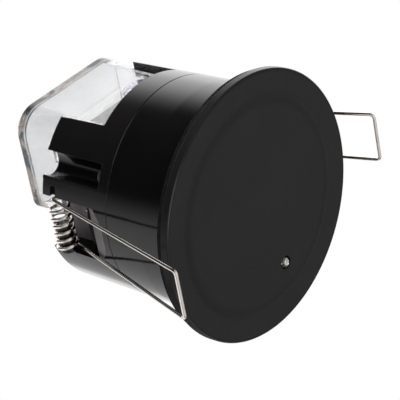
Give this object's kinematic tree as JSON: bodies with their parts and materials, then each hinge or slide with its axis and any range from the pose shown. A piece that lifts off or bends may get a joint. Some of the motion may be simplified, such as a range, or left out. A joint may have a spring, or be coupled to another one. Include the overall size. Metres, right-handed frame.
{
  "type": "recessed ceiling motion sensor",
  "caption": "Round microwave motion sensor for a ceiling cut-out, with a flat front cover, a two-part housing, sprung wire clips and a clear terminal cover.",
  "frame": {"origin": "centre of the gasket's back, where it lies against the ceiling", "axes": "+Z from the front face into the ceiling, +X towards one spring clip, +Y towards the cable side"},
  "size_m": [0.0884, 0.076, 0.0746],
  "materials": {
    "face_plastic": "fine matte black",
    "foam": "black closed-cell foam",
    "housing_plastic": "satin black",
    "rear_plastic": "satin black",
    "cover_clear": "clear, slightly hazy",
    "spring_wire": "bright plated",
    "led_lens": "clear",
    "tin": "tinned",
    "board_front": "green laminate",
    "copper": "bare copper",
    "can_metal": "tinned sheet",
    "board_middle": "green laminate",
    "chip": "moulded black",
    "pins": "plated",
    "header_plastic": "black",
    "board_rear": "brown laminate",
    "solder": "bright solder",
    "relay_case": "satin blue",
    "capacitor_sleeve": "shrink sleeve",
    "capacitor_box": "yellow box",
    "varistor_coat": "blue coating",
    "fuse_case": "brown",
    "block_plastic": "light grey",
    "cage_metal": "plated",
    "terminal_steel": "plated",
    "pin_metal": "plated",
    "screw_black": "black oxide",
    "clamp_plastic": "black",
    "screw_plated": "plated"
  },
  "bodies": {
    "sensor": {"front_bezel": "face_plastic", "foam_gasket": "foam", "front_housing": "housing_plastic", "rear_housing": "rear_plastic", "terminal_cover": "cover_clear", "indicator_led": "led_lens", "led_leads": "tin", "antenna_board": "board_front", "antenna_patches": "copper", "shield_can": "can_metal", "control_board": "board_middle", "microcontroller_chip": "chip", "header_pins": "pins", "board_header": "header_plastic", "power_board": "board_rear", "solder_joints": "solder", "relay": "relay_case", "electrolytic_capacitor": "capacitor_sleeve", "film_capacitor": "capacitor_box", "varistor": "varistor_coat", "fuse": "fuse_case", "terminal_block": "block_plastic", "terminal_cages": "cage_metal", "terminal_screws": "terminal_steel", "terminal_pins": "pin_metal", "housing_screws": "screw_black", "cable_clamp": "clamp_plastic", "clamp_screws": "screw_plated"},
    "clip_left": {"spring_clip_left": "spring_wire"},
    "clip_right": {"spring_clip_right": "spring_wire"}
  },
  "joints": [
    {"name": "clip_left_hinge", "type": "hinge", "parent": "sensor", "child": "clip_left", "pos_m": [0.03, 0, 0.0412], "axis": [0, -1, 0], "range_deg": [0, 150], "stiffness_Nm_per_rad": 0.1, "springref_deg": -11.46},
    {"name": "clip_right_hinge", "type": "hinge", "parent": "sensor", "child": "clip_right", "pos_m": [-0.03, 0, 0.0412], "axis": [0, 1, 0], "range_deg": [0, 150], "stiffness_Nm_per_rad": 0.1, "springref_deg": -11.46}
  ]
}
